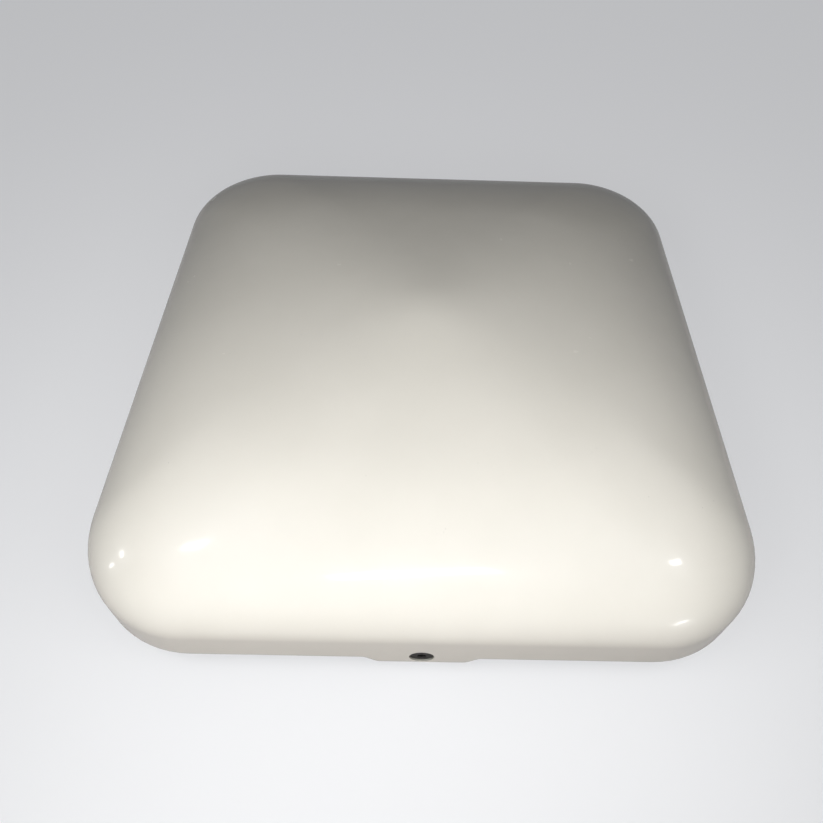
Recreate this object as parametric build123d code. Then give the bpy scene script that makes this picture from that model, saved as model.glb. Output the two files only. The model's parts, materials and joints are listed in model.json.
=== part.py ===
from build123d import *

import os
from math import asin, atan, atan2, cos, exp, pi, radians, sin, tan

# Chimney flue cover: a glossy white moulded cap on the roof of a caravan.
#
# The cap is a square shell with generous corners, a short wall with a little draft, a wide
# elliptical shoulder and a shallow hipped roof with a rounded crown. Each side has a lug in the middle of its rim, with a countersunk screw. The screws clamp the cap to four
# folded brackets on a pressed roof frame, whose upstand surrounds the flue. A slotted guard
# stands on the frame, and a heat shield hangs below the crown.
#
# Units are millimetres and angles are degrees. The origin is on the roof, under the crown,
# with +Z up, +X to the right and -Y to the front.

# Cap, outside
cover_width = 350.0
corner_radius = 60.0
hip_radius = 36.0
wall_thickness = 3.0
wall_height = 20.0
wall_draft = 4.0
shoulder_inset = 112.0
shoulder_rise = 46.0
roof_pitch = 6.9
crown_radius = 120.0
crown_flat = 12.0
rim_height = 25.0

# Sections that each loft runs through
wall_section_count = 4
shoulder_section_count = 7
roof_section_count = 4
crown_section_count = 4

# Fixing lugs in the middle of each side
lug_width = 44.0
lug_drop = 6.0
lug_flare = 7.0
lug_fillet = 3.0
fixing_rise = 2.0

# Countersunk fixing screws
screw_diameter = 6.0
screw_head_diameter = 12.0
screw_head_edge = 0.6
screw_length = 17.0
screw_point = 0.7
hex_socket = 4.0
hex_socket_depth = 2.4
screw_clearance = 0.3
head_clearance = 0.2
thread_gap = 0.05

# Clamp plates that the screws pull against the brackets
clamp_plate_height = 16.0
clamp_plate_thickness = 4.0
clamp_plate_corner = 1.5
clamp_gap = 0.3

# Backing plates bonded inside the lugs
lug_plate_width = 34.0
lug_plate_height = 15.0
lug_plate_thickness = 3.0
lug_plate_edge = 1.5
bond_gap = 0.3

# Pressed roof frame
flange_setback = 17.0
flange_corner_radius = 18.0
sheet_thickness = 2.0
opening_width = 200.0
opening_corner_radius = 22.0
upstand_height = 34.0
bend_radius = 3.0
bead_overhang = 2.0
bead_height = 5.0
bead_chamfer = 1.4
roof_hole_diameter = 5.5
roof_hole_spacing = 180.0

# Gasket under the roof frame
gasket_thickness = 4.0
gasket_margin = 2.0
gasket_hole_gap = 0.8

# Folded brackets between the frame and the lugs
bracket_width = 26.0
bracket_thickness = 2.5
bracket_bend_radius = 2.5
bracket_foot_gap = 6.4
bracket_top_margin = 14.0
bracket_gap = 0.3
rib_depth = 6.0
rib_start = 7.0
rib_corner = 3.5
slot_clearance = 0.6

# Blind rivets
rivet_diameter = 4.0
rivet_head_diameter = 8.0
rivet_head_height = 1.6
rivet_clearance = 0.1
rivet_spacing = 13.0
rivet_setback = 9.0
guard_rivet_diameter = 3.2
guard_rivet_head_diameter = 6.4
guard_rivet_head_height = 1.3
guard_rivet_spacing = 150.0

# Slotted guard strips
guard_channel = 10.0
guard_height = 42.0
guard_thickness = 1.2
guard_foot = 11.0
guard_mitre_gap = 0.3
guard_slot_width = 3.5
guard_slot_pitch = 9.0
guard_slot_bottom = 7.0
guard_slot_top = 5.0
guard_end_margin = 9.0

# Heat shield under the crown
shield_width = 230.0
shield_corner_radius = 44.0
shield_thickness = 1.2
shield_lip = 8.0
shield_slot_play = 4.5

# Studs, spacers, washers and nuts that carry the shield
stud_distance = 72.0
stud_diameter = 5.0
stud_length = 22.0
stud_base_diameter = 30.0
stud_base_thickness = 1.5
stud_base_hole_diameter = 5.0
stud_base_hole_circle = 20.0
stud_base_hole_count = 3
spacer_length = 12.0
spacer_diameter = 12.0
washer_diameter = 15.0
washer_thickness = 1.2
nut_width = 8.0
nut_height = 5.0
nut_chamfer = 0.6
stud_clearance = 0.5
seat_gap = 0.1

SIDES = {"front": 0.0, "right": 90.0, "rear": 180.0, "left": 270.0}
LOW = (Align.CENTER, Align.CENTER, Align.MIN)
OVERRUN = 4.0
TOUCH = 0.01

pitch = radians(roof_pitch)
draft = radians(wall_draft)
half_cover = cover_width / 2
wall_top = rim_height + wall_height
fixing_level = rim_height + fixing_rise
flange_bottom = gasket_thickness
flange_top = flange_bottom + sheet_thickness
half_flange = half_cover - flange_setback
outer_opening = opening_width / 2 + sheet_thickness
half_guard = outer_opening + bead_overhang + guard_channel + guard_foot

half_wall_top = half_cover - (wall_height + lug_drop) * tan(draft)
shoulder_start = atan(tan(draft) * shoulder_rise / shoulder_inset)
shoulder_turn = atan(shoulder_rise / (shoulder_inset * tan(pitch)))
shoulder_end = half_wall_top - shoulder_inset * (cos(shoulder_start) - cos(shoulder_turn))
shoulder_top = wall_top + shoulder_rise * (sin(shoulder_turn) - sin(shoulder_start))
crown_start = crown_radius * sin(pitch)
crown_centre = shoulder_top + (shoulder_end - crown_start) * tan(pitch) - crown_radius * cos(pitch)


def turned(place, angle):
    """A point turned about the origin."""
    x, y = place
    turn = radians(angle)
    return x * cos(turn) - y * sin(turn), x * sin(turn) + y * cos(turn)


def round_the_sides(shape):
    """Copies of a piece made at the front, one for each side."""
    return [Rot(0, 0, angle) * shape for angle in SIDES.values()]


def cut_all(body, tools):
    """The body with every tool taken away."""
    for tool in tools:
        body = body - tool
    return body


def even(first, last, count):
    """Evenly spaced values from the first to the last."""
    return [first + (last - first) * step / (count - 1) for step in range(count)]


def section(half_width, height, radius):
    """A level square section with rounded corners."""
    return Pos(0, 0, height) * RectangleRounded(2 * half_width, 2 * half_width, radius)


def wall_face(drop):
    """Distance of the wall's outer surface from the centre, at a drop below the wall's top."""
    return half_wall_top + drop * tan(draft)


def roof_height(distance):
    """Height of the outer surface over the middle line of a roof plane."""
    return shoulder_top + (shoulder_end - distance) * tan(pitch)


def wall_point(drop):
    """A point of the cap's outline on the wall: distance, height and tilt of its normal."""
    return wall_face(drop), wall_top - drop, draft


def shoulder_point(angle):
    """A point of the cap's outline on the shoulder."""
    distance = half_wall_top - shoulder_inset * (cos(shoulder_start) - cos(angle))
    height = wall_top + shoulder_rise * (sin(angle) - sin(shoulder_start))
    return distance, height, atan2(shoulder_inset * sin(angle), shoulder_rise * cos(angle))


def roof_point(distance):
    """A point of the cap's outline on the straight roof."""
    return distance, roof_height(distance), pi / 2 - pitch


def crown_point(lean):
    """A point of the cap's outline on the rounded crown, at an angle off the centre line."""
    return crown_radius * sin(lean), crown_centre + crown_radius * cos(lean), pi / 2 - lean


def corner_at(distance):
    """Corner radius of the cap's level section: it shrinks with the inset, down to the hips'."""
    inset = half_cover - distance
    spare = corner_radius - hip_radius
    return hip_radius + spare * exp(-inset / spare)


def cap_section(point, depth):
    """The cap's level section at a point of its outline, at a depth below the outer surface."""
    distance, height, tilt = point
    half_width = distance - depth * cos(tilt)
    radius = min(corner_at(distance) - depth * cos(tilt), 0.9 * half_width)
    return section(half_width, height - depth * sin(tilt), radius)


def cap_body(depth, reach):
    """A solid at a depth below the cap's outer surface, down to a reach below the rim."""
    crown_end = asin(crown_flat / 2 / crown_radius)
    lines = [
        [wall_point(drop) for drop in even(wall_height + reach, 0, wall_section_count)],
        [shoulder_point(angle) for angle in even(shoulder_start, shoulder_turn, shoulder_section_count)],
        [roof_point(distance) for distance in even(shoulder_end, crown_start, roof_section_count)],
        [crown_point(lean) for lean in even(pitch, crown_end, crown_section_count)],
    ]
    stages = [loft([cap_section(point, depth) for point in line]) for line in lines]
    return stages[0] + stages[1:]


def lug_outline():
    """What is trimmed below the rim, beside and under the lug, as a face in the XZ plane."""
    reach = half_cover + OVERRUN
    lug_bottom = rim_height - lug_drop
    lug_root = lug_width / 2 + lug_flare
    rim = [(-reach, rim_height), (-lug_root, rim_height), (-lug_width / 2, lug_bottom)]
    mirrored = [(-x, z) for x, z in reversed(rim)]
    low = lug_bottom - 4 * OVERRUN
    face = make_face(Polyline(*rim, *mirrored, (reach, low), (-reach, low), close=True))
    corners = [vertex for vertex in face.vertices() if abs(vertex.X) < lug_root + OVERRUN]
    return Plane.XZ * fillet(corners, lug_fillet)


def make_cover_shell():
    """The moulded cap: a thin shell, trimmed along its rim and drilled through its lugs."""
    outside = cap_body(0, lug_drop + OVERRUN)
    inside = cap_body(wall_thickness, lug_drop + 2 * OVERRUN)
    trim_depth = corner_radius
    trim = Pos(0, trim_depth - half_cover, 0) * extrude(lug_outline(), trim_depth + OVERRUN)
    shell = cut_all(outside - inside, round_the_sides(trim))
    return cut_all(shell, round_the_sides(screw_recess()))


def head_face():
    """Distance of the screw heads from the centre: flush at the top, where the wall is innermost."""
    return wall_face(wall_height - fixing_rise - screw_head_diameter / 2)


def radial_cylinder(diameter, start, end):
    """A cylinder square to the front, at the screws' level, between two distances."""
    middle = Pos(0, -(start + end) / 2, fixing_level)
    return middle * Rot(90, 0, 0) * Cylinder(diameter / 2, end - start)


def countersink(face, head, shank):
    """The right-angled cone behind a countersunk head whose rim is at a distance."""
    depth = (head - shank) / 2
    return Pos(0, depth / 2 - face, fixing_level) * Rot(90, 0, 0) * Cone(shank / 2, head / 2, depth)


def screw_recess():
    """The room that the front screw needs in the wall and its backing plate."""
    hole = screw_diameter + 2 * screw_clearance
    head = screw_head_diameter + 2 * head_clearance
    seat = head_face() - screw_head_edge
    through = radial_cylinder(hole, seat - screw_length, seat)
    mouth = radial_cylinder(head, seat, half_cover + OVERRUN)
    return through + mouth + countersink(seat, head, hole)


def make_fixing_screws():
    """Countersunk hexagon socket screws, one through each lug."""
    face = head_face()
    seat = face - screw_head_edge
    rim = radial_cylinder(screw_head_diameter, seat, face)
    shank = radial_cylinder(screw_diameter, face - screw_length, seat)
    screw = rim + shank + countersink(seat, screw_head_diameter, screw_diameter)
    screw = chamfer(screw.faces().sort_by(Axis.Y)[-1].edges(), screw_point)
    hexagon = RegularPolygon(hex_socket / 2, 6, major_radius=False)
    socket = Pos(0, -face, fixing_level) * Plane.XZ * hexagon
    screw = screw - extrude(socket, -hex_socket_depth)
    return Compound(children=round_the_sides(screw))


def bracket_face():
    """Distance of the bracket leg's outer face from the centre."""
    return wall_face(wall_height) - wall_thickness - lug_plate_thickness - bond_gap - bracket_gap


def make_lug_plate():
    """The front backing plate: it has the wall's draft outside and is cut for the screw."""
    inner = bracket_face() + bracket_gap
    bottom = rim_height - lug_drop + lug_plate_edge
    depth = half_cover - inner
    blank = Box(lug_plate_width, depth, lug_plate_height, align=LOW)
    blank = Pos(0, -inner - depth / 2, bottom) * blank
    fitted = blank & cap_body(wall_thickness + bond_gap, lug_drop + OVERRUN)
    return fitted - screw_recess()


def make_clamp_plates():
    """Tapped plates that the screws draw against the inside of the brackets."""
    outer = bracket_face() - bracket_thickness - clamp_gap
    width = bracket_width - 2 * bracket_thickness - 2 * clamp_gap
    blank = Box(width, clamp_plate_thickness, clamp_plate_height)
    plate = Pos(0, clamp_plate_thickness / 2 - outer, fixing_level) * blank
    plate = chamfer(plate.edges().filter_by(Axis.Y), clamp_plate_corner)
    bore = screw_diameter + 2 * thread_gap
    plate = plate - radial_cylinder(bore, outer - clamp_plate_thickness - OVERRUN, outer + OVERRUN)
    return Compound(children=round_the_sides(plate))


def hole_places():
    """Centres of the roof screw holes: two on each side, midway between guard and flange edge."""
    row = (half_guard + half_flange) / 2
    half = roof_hole_spacing / 2
    return [turned((x, -row), angle) for angle in SIDES.values() for x in (-half, half)]


def bracket_rivet_places(sides=SIDES):
    """Centres of the bracket rivets: two side by side in each foot."""
    row = half_guard + bracket_foot_gap + rivet_setback
    half = rivet_spacing / 2
    return [turned((x, -row), SIDES[side]) for side in sides for x in (-half, half)]


def guard_rivet_places(sides=SIDES):
    """Centres of the guard rivets: two in the foot of each strip."""
    row = half_guard - (guard_foot + guard_thickness) / 2
    half = guard_rivet_spacing / 2
    return [turned((x, -row), SIDES[side]) for side in sides for x in (-half, half)]


def level_holes(places, diameter, bottom, top):
    """Upright cylinders at several places, a little longer than the plate that they pierce."""
    height = top - bottom + 2 * OVERRUN
    pin = Pos(0, 0, bottom - OVERRUN) * Cylinder(diameter / 2, height, align=LOW)
    return [Pos(x, y, 0) * pin for x, y in places]


def edges_at(shape, level, reach):
    """Edges of a shape at a level, within a reach of the centre line."""
    found = shape.edges().filter_by_position(Axis.Z, level - TOUCH, level + TOUCH)
    return [edge for edge in found if edge.bounding_box().max.X < reach
            and edge.bounding_box().min.X > -reach]


def make_roof_frame():
    """Pressed plate: a flange, an upstand round the flue opening, and a rolled edge on top."""
    flange = section(half_flange, flange_bottom, flange_corner_radius)
    upstand = section(outer_opening, flange_bottom, opening_corner_radius + sheet_thickness)
    frame = extrude(flange, sheet_thickness) + extrude(upstand, sheet_thickness + upstand_height)
    frame = fillet(edges_at(frame, flange_top, outer_opening + TOUCH), bend_radius)
    bead_bottom = flange_top + upstand_height - bead_height
    bead_radius = opening_corner_radius + sheet_thickness + bead_overhang
    bead = extrude(section(outer_opening + bead_overhang, bead_bottom, bead_radius), bead_height)
    rims = bead.faces().sort_by(Axis.Z)
    bead = chamfer(rims[0].edges() + rims[-1].edges(), bead_chamfer)
    opening = section(opening_width / 2, flange_bottom - OVERRUN, opening_corner_radius)
    frame = frame + bead - extrude(opening, upstand_height + 3 * OVERRUN)
    mouth = edges_at(frame, flange_bottom, opening_width / 2 + TOUCH)
    frame = fillet(mouth, bend_radius + 0.9 * sheet_thickness)
    bracket_hole = rivet_diameter + 2 * rivet_clearance
    guard_hole = guard_rivet_diameter + 2 * rivet_clearance
    tools = level_holes(hole_places(), roof_hole_diameter, flange_bottom, flange_top)
    tools += level_holes(bracket_rivet_places(), bracket_hole, flange_bottom, flange_top)
    tools += level_holes(guard_rivet_places(), guard_hole, flange_bottom, flange_top)
    return cut_all(frame, tools)


def make_roof_gasket():
    """Closed-cell foam between the flange and the roof, with holes for the roof screws."""
    outer = half_flange - gasket_margin
    inner = opening_width / 2 + bend_radius + sheet_thickness + gasket_margin
    ring = extrude(section(outer, 0, flange_corner_radius - gasket_margin), gasket_thickness)
    inner_radius = opening_corner_radius + inner - opening_width / 2
    ring = ring - extrude(section(inner, -OVERRUN, inner_radius), gasket_thickness + 2 * OVERRUN)
    hole = roof_hole_diameter + 2 * gasket_hole_gap
    return cut_all(ring, level_holes(hole_places(), hole, 0, gasket_thickness))


def make_bracket():
    """The front bracket: a foot on the flange and a ribbed leg with a slot open at the top."""
    face = bracket_face()
    t = bracket_thickness
    top = fixing_level + bracket_top_margin
    foot_end = half_guard + bracket_foot_gap
    inside_bend = (t - face, flange_top + t)
    outside_bend = (-face, flange_top)
    side = [(-foot_end, flange_top), outside_bend, (-face, top), (t - face, top), inside_bend,
            (-foot_end, flange_top + t)]
    profile = make_face(Polyline(*side, close=True))
    for bend, radius in ((outside_bend, bracket_bend_radius + t), (inside_bend, bracket_bend_radius)):
        profile = fillet(profile.vertices().sort_by_distance((*bend, 0))[0], radius)
    plate = Pos(-bracket_width / 2, 0, 0) * extrude(Plane.YZ * profile, bracket_width)
    rib_bottom = flange_top + rib_start
    rib = Pos(0, (t + rib_depth) / 2 - face, rib_bottom) * Box(t, t + rib_depth, top - rib_bottom, align=LOW)
    bracket = plate + [Pos(side_sign * (bracket_width - t) / 2, 0, 0) * rib for side_sign in (-1, 1)]
    rib_edge = t + rib_depth - face
    rib_ends = bracket.edges().filter_by(Axis.X)
    rib_ends = rib_ends.filter_by_position(Axis.Y, rib_edge - TOUCH, rib_edge + TOUCH)
    bracket = fillet(rib_ends, rib_corner)
    slot_width = screw_diameter + 2 * slot_clearance
    slot = Box(slot_width, 4 * t, bracket_top_margin + OVERRUN, align=LOW)
    bracket = bracket - Pos(0, -face, fixing_level) * slot
    bracket = bracket - radial_cylinder(slot_width, face - 2 * t, face + OVERRUN)
    hole = rivet_diameter + 2 * rivet_clearance
    return cut_all(bracket, level_holes(bracket_rivet_places(["front"]), hole, flange_top, flange_top + t))


def make_rivets(places, grip, shank_diameter, head_diameter, head_height):
    """Low-headed rivets through the flange and a plate on it, set flush under the flange."""
    shank = Cylinder(shank_diameter / 2, sheet_thickness + grip, align=LOW)
    head = Cone(head_diameter / 2, shank_diameter / 2, head_height, align=LOW)
    rivet = Pos(0, 0, flange_bottom) * shank + Pos(0, 0, flange_top + grip) * head
    return Compound(children=[Pos(x, y, 0) * rivet for x, y in places])


def make_guard():
    """The front guard strip: a slotted web on a foot, mitred at both ends."""
    half = half_guard
    web = Box(2 * half, guard_thickness, guard_height, align=LOW)
    foot = Box(2 * half, guard_foot, guard_thickness, align=LOW)
    strip = Pos(0, guard_thickness / 2 - half, flange_top) * web
    strip = strip + Pos(0, guard_foot / 2 - half, flange_top) * foot
    edge = half - guard_mitre_gap
    inner = edge - 2 * guard_foot
    mitres = [(-edge, -half), (edge, -half), (inner, 2 * guard_foot - half), (-inner, 2 * guard_foot - half)]
    wedge = Pos(0, 0, flange_top) * make_face(Polyline(*mitres, close=True))
    strip = strip & extrude(wedge, guard_height)
    slot_height = guard_height - guard_slot_bottom - guard_slot_top
    slot = Box(guard_slot_width, 4 * guard_thickness, slot_height, align=LOW)
    slot = Pos(0, -half, flange_top + guard_slot_bottom) * slot
    spaces = int((2 * half - 2 * guard_end_margin - guard_slot_width) // guard_slot_pitch)
    reach = spaces * guard_slot_pitch / 2
    strip = cut_all(strip, [Pos(x, 0, 0) * slot for x in even(-reach, reach, spaces + 1)])
    hole = guard_rivet_diameter + 2 * rivet_clearance
    top = flange_top + guard_thickness
    return cut_all(strip, level_holes(guard_rivet_places(["front"]), hole, flange_top, top))


def stud_frame(angle, depth):
    """A frame on the middle line of a roof plane, at a depth below the outside, facing inwards."""
    out_x, out_y = turned((0, -1), angle)
    inward = Vector(-out_x * sin(pitch), -out_y * sin(pitch), -cos(pitch))
    surface = Vector(out_x * stud_distance, out_y * stud_distance, roof_height(stud_distance))
    return Plane(origin=surface + inward * depth, x_dir=(-out_y, out_x, 0), z_dir=inward).location


def on_studs(piece, depth):
    """A copy of a piece on each stud, starting at a depth below the outside of the roof."""
    return Compound(children=[stud_frame(angle, depth) * piece for angle in SIDES.values()])


def stud_hole():
    """Diameter of what slips over a stud."""
    return stud_diameter + 2 * stud_clearance


def stud_base_depth():
    """Depth of the stud bases' upper face."""
    return wall_thickness + bond_gap


def spacer_depth():
    """Depth of the spacers' upper face."""
    return stud_base_depth() + stud_base_thickness + seat_gap


def shield_depth():
    """Depth of the shield's upper face."""
    return spacer_depth() + spacer_length + seat_gap


def washer_depth():
    """Depth of the washers' upper face."""
    return shield_depth() + shield_thickness + seat_gap


def tray_body(half_width, corner, depth, bottom):
    """A solid below the roof's planes at a depth, with upright sides, down to a level."""
    rings = []
    for distance in (half_width, crown_start):
        height = roof_height(distance) - depth / cos(pitch)
        rings.append(section(distance, height, corner * distance / half_width))
    eaves = roof_height(half_width) - depth / cos(pitch)
    return loft(rings, ruled=True) + extrude(section(half_width, bottom, corner), eaves - bottom)


def make_heat_shield():
    """Thin metal tray under the crown: it follows the roof's planes and turns down at its edge."""
    depth = shield_depth()
    half = shield_width / 2
    inner_half = half - shield_thickness
    inner_corner = shield_corner_radius - shield_thickness
    bottom = roof_height(half) - depth / cos(pitch) - shield_lip
    outer = tray_body(half, shield_corner_radius, depth, bottom)
    inner = tray_body(inner_half, inner_corner, depth + shield_thickness, bottom - OVERRUN)
    slot = extrude(SlotOverall(stud_hole() + shield_slot_play, stud_hole(), rotation=90), 3 * OVERRUN)
    return cut_all(outer - inner, on_studs(slot, depth - OVERRUN).children)


def make_shield_studs():
    """Studs on perforated bases, bonded under the roof planes."""
    base = Cylinder(stud_base_diameter / 2, stud_base_thickness, align=LOW)
    hole = Cylinder(stud_base_hole_diameter / 2, 4 * stud_base_thickness)
    ring = PolarLocations(stud_base_hole_circle / 2, stud_base_hole_count)
    stud = cut_all(base, [place * hole for place in ring])
    return on_studs(stud + Cylinder(stud_diameter / 2, stud_length, align=LOW), stud_base_depth())


def make_ring(outer, height):
    """A ring that slips over a stud."""
    return Cylinder(outer / 2, height, align=LOW) - Cylinder(stud_hole() / 2, 3 * height)


def make_nut():
    """A hexagon nut, chamfered at its free end."""
    hexagon = extrude(RegularPolygon(nut_width / 2, 6, major_radius=False), nut_height)
    across_corners = nut_width / cos(pi / 6)
    turned_end = Cylinder(across_corners / 2, nut_height, align=LOW)
    turned_end = chamfer(turned_end.edges().sort_by(Axis.Z)[-1], nut_chamfer)
    return (hexagon & turned_end) - Cylinder(stud_diameter / 2 + thread_gap, 3 * nut_height)


def save(name, shape):
    """Writes one piece to its own file."""
    export_step(shape, os.path.join("parts", name + ".step"))


def main():
    """Builds every piece and writes it."""
    os.makedirs("parts", exist_ok=True)
    save("cover_shell", make_cover_shell())
    save("fixing_screws", make_fixing_screws())
    save("clamp_plates", make_clamp_plates())
    for name, piece in (("lug_plate", make_lug_plate()), ("bracket", make_bracket()), ("guard", make_guard())):
        for side, angle in SIDES.items():
            save(side + "_" + name, Rot(0, 0, angle) * piece)
    save("roof_frame", make_roof_frame())
    save("roof_gasket", make_roof_gasket())
    save("bracket_rivets", make_rivets(bracket_rivet_places(), bracket_thickness, rivet_diameter,
                                       rivet_head_diameter, rivet_head_height))
    save("guard_rivets", make_rivets(guard_rivet_places(), guard_thickness, guard_rivet_diameter,
                                     guard_rivet_head_diameter, guard_rivet_head_height))
    save("heat_shield", make_heat_shield())
    save("shield_studs", make_shield_studs())
    save("shield_spacers", on_studs(make_ring(spacer_diameter, spacer_length), spacer_depth()))
    save("shield_washers", on_studs(make_ring(washer_diameter, washer_thickness), washer_depth()))
    nut_depth = washer_depth() + washer_thickness + seat_gap
    save("shield_nuts", on_studs(make_nut(), nut_depth))


main()
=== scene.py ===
import json
import math

import bmesh
import bpy
from mathutils import Matrix, Quaternion, Vector


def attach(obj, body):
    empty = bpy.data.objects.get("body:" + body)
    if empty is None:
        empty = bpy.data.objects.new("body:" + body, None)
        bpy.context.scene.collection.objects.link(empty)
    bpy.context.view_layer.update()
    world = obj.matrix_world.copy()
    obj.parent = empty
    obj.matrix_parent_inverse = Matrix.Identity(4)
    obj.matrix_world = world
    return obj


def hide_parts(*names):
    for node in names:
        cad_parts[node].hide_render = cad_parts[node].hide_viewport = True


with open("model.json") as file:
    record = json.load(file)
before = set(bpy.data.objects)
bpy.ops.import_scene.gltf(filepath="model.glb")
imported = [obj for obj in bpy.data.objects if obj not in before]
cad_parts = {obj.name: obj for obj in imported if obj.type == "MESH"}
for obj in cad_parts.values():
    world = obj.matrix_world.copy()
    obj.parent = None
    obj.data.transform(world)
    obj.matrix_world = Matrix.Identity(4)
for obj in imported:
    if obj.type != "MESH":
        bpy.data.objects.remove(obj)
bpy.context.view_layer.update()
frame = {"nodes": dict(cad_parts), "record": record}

# Chimney flue cover. The cap is built again as one dense smooth mesh from the same curves as its
# solid. Everything is in metres, with the roof at z = 0 and the front of the cover towards -Y.

# Cap
cover_half = 0.175
corner_radius = 0.060
hip_radius = 0.036
wall_thickness = 0.003
wall_height = 0.020
draft = math.radians(4.0)
shoulder_inset = 0.112
shoulder_rise = 0.046
pitch = math.radians(6.9)
crown_radius = 0.120
rim_height = 0.025
rim_rounding = 0.0008
lug_half = 0.022
lug_root = 0.029
lug_drop = 0.006
lug_ease = 0.001  # the rim's step down to a lug is longer than the lug's flare by this at each end
screw_rise = 0.002
screw_level = rim_height + screw_rise

wall_top = rim_height + wall_height
wall_top_half = cover_half - (wall_height + lug_drop) * math.tan(draft)
shoulder_start = math.atan(math.tan(draft) * shoulder_rise / shoulder_inset)
shoulder_turn = math.atan(shoulder_rise / (shoulder_inset * math.tan(pitch)))
shoulder_end = wall_top_half - shoulder_inset * (math.cos(shoulder_start) - math.cos(shoulder_turn))
shoulder_top = wall_top + shoulder_rise * (math.sin(shoulder_turn) - math.sin(shoulder_start))
crown_start = crown_radius * math.sin(pitch)
crown_centre = (shoulder_top + (shoulder_end - crown_start) * math.tan(pitch)
                - crown_radius * math.cos(pitch))

# How finely the cap's mesh is divided
crown_eye = 0.003  # radius of the innermost ring
CROWN_RINGS = 7
OUTER_WALL_RINGS = 15
INNER_WALL_RINGS = 9
EDGE_RINGS = 5
LUG_COLUMNS = 8
FLARE_COLUMNS = 12
PLAIN_COLUMNS = 11
ARC_STEPS = 18
ROUNDEST = 0.9  # the largest corner radius, as a share of a level section's half width
SHARP_ANGLE = math.radians(32)


def even(first, last, count):
    """Evenly spaced values from the first to the last."""
    return [first + (last - first) * step / (count - 1) for step in range(count)]


def wall_face(drop):
    """Distance of the wall's outer surface from the centre, at a drop below the wall's top."""
    return wall_top_half + drop * math.tan(draft)


def corner_at(distance):
    """Corner radius of the cap's level section at a distance of its sides from the centre."""
    spare = corner_radius - hip_radius
    return hip_radius + spare * math.exp(-(cover_half - distance) / spare)


def roof_height(distance):
    """Height of the outer surface over the middle line of a roof plane."""
    return shoulder_top + (shoulder_end - distance) * math.tan(pitch)


def upper_points(roof_count, shoulder_count):
    """The cap's outline from its crown to the wall's top: distance, height and tilt."""
    points = []
    for lean in even(math.asin(crown_eye / crown_radius), pitch, CROWN_RINGS):
        points.append((crown_radius * math.sin(lean),
                       crown_centre + crown_radius * math.cos(lean), math.pi / 2 - lean))
    for distance in even(crown_start, shoulder_end, roof_count)[1:]:
        points.append((distance, roof_height(distance), math.pi / 2 - pitch))
    for angle in even(shoulder_turn, shoulder_start, shoulder_count)[1:]:
        distance = wall_top_half - shoulder_inset * (math.cos(shoulder_start) - math.cos(angle))
        height = wall_top + shoulder_rise * (math.sin(angle) - math.sin(shoulder_start))
        tilt = math.atan2(shoulder_inset * math.sin(angle), shoulder_rise * math.cos(angle))
        points.append((distance, height, tilt))
    return points


def side_shares():
    """Places along the straight part of a side, as shares of its half length at the rim."""
    rim_straight = cover_half - corner_radius
    flare_start = lug_half - 2 * lug_ease
    flare_end = lug_root + 2 * lug_ease
    places = even(0, flare_start, LUG_COLUMNS)
    places += even(flare_start, flare_end, FLARE_COLUMNS)[1:]
    places += even(flare_end, rim_straight, PLAIN_COLUMNS)[1:]
    shares = [place / rim_straight for place in places]
    return [-share for share in reversed(shares[1:])] + shares


SHARES = side_shares()


def ring(half_width, radius):
    """Points round a level square with rounded corners, from the front side on."""
    points = []
    straight = half_width - radius
    for turn in range(4):
        side = [(straight * share, -half_width) for share in SHARES]
        arc = []
        for step in range(1, ARC_STEPS):
            angle = -math.pi / 2 + math.pi / 2 * step / ARC_STEPS
            arc.append((straight + radius * math.cos(angle), -straight + radius * math.sin(angle)))
        for x, y in side + arc:
            for _ in range(turn):
                x, y = -y, x
            points.append((x, y))
    return points


def along_side(index):
    """Distance of a column from the middle of its side at the rim, or None round a corner."""
    place = index % (len(SHARES) + ARC_STEPS - 1)
    if place >= len(SHARES):
        return None
    return abs(SHARES[place]) * (cover_half - corner_radius)


def rim_level(index):
    """Height of the rim: it drops at the lug in the middle of each side."""
    place = along_side(index)
    if place is None or place >= lug_root + lug_ease:
        return rim_height
    share = min(1.0, (lug_root + lug_ease - place) / (lug_root - lug_half + 2 * lug_ease))
    return rim_height - lug_drop * share * share * (3 - 2 * share)


COLUMNS = len(ring(cover_half, corner_radius))
RIM = [rim_level(index) for index in range(COLUMNS)]


def wall_levels(share):
    """Heights of the columns at a share of the way down the wall to the rim's rounding."""
    return [wall_top + (rim + rim_rounding - wall_top) * share for rim in RIM]


def edge_levels(angle):
    """Heights of the columns at an angle round the rim's rounding."""
    return [rim + rim_rounding * (1 - math.sin(angle)) for rim in RIM]


def upper_ring(point, depth):
    """One level ring of the cap above its wall, at a depth below its outer surface."""
    distance, height, tilt = point
    inset = depth * math.cos(tilt)
    half_width = distance - inset
    radius = min(corner_at(distance) - inset, ROUNDEST * half_width)
    z = height - depth * math.sin(tilt)
    return [(x, y, z) for x, y in ring(half_width, radius)]


def wall_ring(levels, depth, fade=0):
    """One ring of the wall at a depth below its outer face, with its own height at every column.
    The fade is the share by which the depth also lowers it, as the wall is tilted."""
    points = []
    rings = {}
    for index, z in enumerate(levels):
        key = round(z, 7)
        if key not in rings:
            distance = wall_face(wall_top - z)
            inset = depth * math.cos(draft)
            rings[key] = ring(distance - inset, corner_at(distance) - inset)
        x, y = rings[key][index]
        points.append((x, y, z - depth * math.sin(draft) * fade))
    return points


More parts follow.
